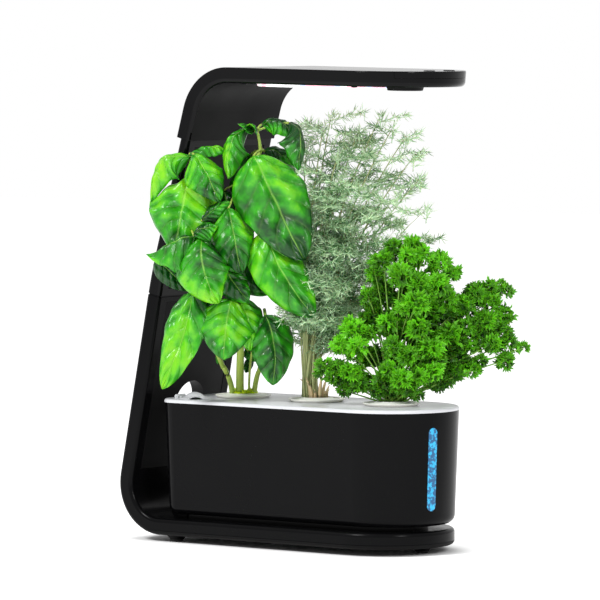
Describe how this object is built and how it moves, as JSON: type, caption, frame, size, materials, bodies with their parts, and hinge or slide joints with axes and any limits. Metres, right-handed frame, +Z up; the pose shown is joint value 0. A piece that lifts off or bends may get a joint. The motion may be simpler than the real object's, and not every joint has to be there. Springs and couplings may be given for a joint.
{
  "type": "countertop hydroponic garden",
  "caption": "Countertop hydroponic garden: a round-nosed water bowl with herb pods in its deck, under a slim lamp hood on a leaning C-shaped stand.",
  "frame": {"origin": "on the table, under the middle of the bowl's deck, in the stand's plane of symmetry", "axes": "+Z up, +X along the foot from the post to the round nose, +Y to the left when looking along +X"},
  "size_m": [0.3322, 0.1779, 0.4049],
  "materials": {
    "gloss_black": "gloss",
    "satin_black": "satin",
    "deck_grey": "satin",
    "collar_white": "gloss",
    "label_white": "matte",
    "pad_rubber": "matte",
    "screw_steel": "satin",
    "contact_brass": "polished",
    "board_green": "satin",
    "switch_grey": "matte",
    "insert_alloy": "satin",
    "cable_grey": "matte",
    "lens_clear": "gloss",
    "lamp_white": "matte",
    "window_blue": "gloss",
    "impeller_white": "matte",
    "shaft_ceramic": "smooth",
    "filter_foam": "open foam",
    "medium_brown": "matte",
    "basil_green": "leafy",
    "dill_green": "feathery",
    "parsley_green": "leafy",
    "stem_green": "smooth"
  },
  "bodies": {
    "stand": {"base_shell": "gloss_black", "post_inner_panel": "satin_black", "base_bottom_cover": "satin_black", "rubber_feet": "pad_rubber", "base_screws": "screw_steel", "power_jack": "satin_black", "power_board": "board_green", "post_tongue": "insert_alloy", "dock_block": "satin_black", "dock_pins": "contact_brass"},
    "riser": {"riser_shell": "gloss_black", "riser_inner_panel": "satin_black", "riser_tongue": "insert_alloy", "riser_ribbon_cable": "cable_grey"},
    "hood": {"hood_shell": "gloss_black", "hood_underside": "satin_black", "hood_screws": "screw_steel", "led_lens": "lens_clear", "led_board": "insert_alloy", "led_lamps": "lamp_white", "control_board": "board_green", "tact_switches": "switch_grey", "control_pod": "satin_black", "control_panel": "gloss_black", "indicator_pipes": "lens_clear"},
    "light_button": {"light_button": "deck_grey"},
    "feed_button": {"feed_button": "deck_grey"},
    "bowl": {"bowl_shell": "gloss_black", "level_window": "window_blue", "window_gasket": "pad_rubber", "pump_plug": "satin_black", "pump_housing": "switch_grey", "pump_cover": "switch_grey", "pump_screws": "screw_steel", "impeller_shaft": "shaft_ceramic", "filter_sponge": "filter_foam", "outlet_tube": "switch_grey", "pump_lead": "pad_rubber"},
    "impeller": {"impeller": "impeller_white"},
    "deck": {"grow_deck": "deck_grey", "cap_hinge_pin": "screw_steel"},
    "fill_cap": {"fill_cap": "deck_grey"},
    "pod_basil": {"basket_basil": "collar_white", "sponge_basil": "medium_brown", "label_basil": "label_white", "stems_basil": "stem_green", "foliage_basil": "basil_green"},
    "pod_dill": {"basket_dill": "collar_white", "sponge_dill": "medium_brown", "label_dill": "label_white", "stems_dill": "stem_green", "foliage_dill": "dill_green"},
    "pod_parsley": {"basket_parsley": "collar_white", "sponge_parsley": "medium_brown", "label_parsley": "label_white", "stems_parsley": "stem_green", "foliage_parsley": "parsley_green"}
  },
  "joints": [
    {"name": "riser_lift", "type": "slide", "parent": "stand", "child": "riser", "axis": [0.1942, 0, 0.981], "range_m": [0, 0.03]},
    {"name": "hood_lift", "type": "slide", "parent": "riser", "child": "hood", "axis": [0.2706, 0, 0.9627], "range_m": [0, 0.03]},
    {"name": "light_button_press", "type": "slide", "parent": "hood", "child": "light_button", "axis": [-0.0131, 0, -0.9999], "range_m": [0, 0.0007], "stiffness_N_per_m": 900, "springref_m": -0.0006},
    {"name": "feed_button_press", "type": "slide", "parent": "hood", "child": "feed_button", "axis": [-0.0131, 0, -0.9999], "range_m": [0, 0.0007], "stiffness_N_per_m": 900, "springref_m": -0.0006},
    {"name": "bowl_slide", "type": "slide", "parent": "stand", "child": "bowl", "axis": [1, 0, 0], "range_m": [0, 0.27]},
    {"name": "impeller_spin", "type": "hinge", "parent": "bowl", "child": "impeller", "pos_m": [-0.0735, 0, 0.04], "axis": [0, 0, 1], "continuous": true},
    {"name": "deck_lift", "type": "slide", "parent": "bowl", "child": "deck", "axis": [0, 0, 1], "range_m": [0, 0.012]},
    {"name": "fill_cap_hinge", "type": "hinge", "parent": "deck", "child": "fill_cap", "pos_m": [-0.0952, -0.04, 0.1238], "axis": [0, -1, 0], "range_deg": [0, 95]},
    {"name": "basil_pod_lift", "type": "slide", "parent": "deck", "child": "pod_basil", "axis": [0, 0, 1], "range_m": [0, 0.012]},
    {"name": "dill_pod_lift", "type": "slide", "parent": "deck", "child": "pod_dill", "axis": [0, 0, 1], "range_m": [0, 0.012]},
    {"name": "parsley_pod_lift", "type": "slide", "parent": "deck", "child": "pod_parsley", "axis": [0, 0, 1], "range_m": [0, 0.012]}
  ]
}
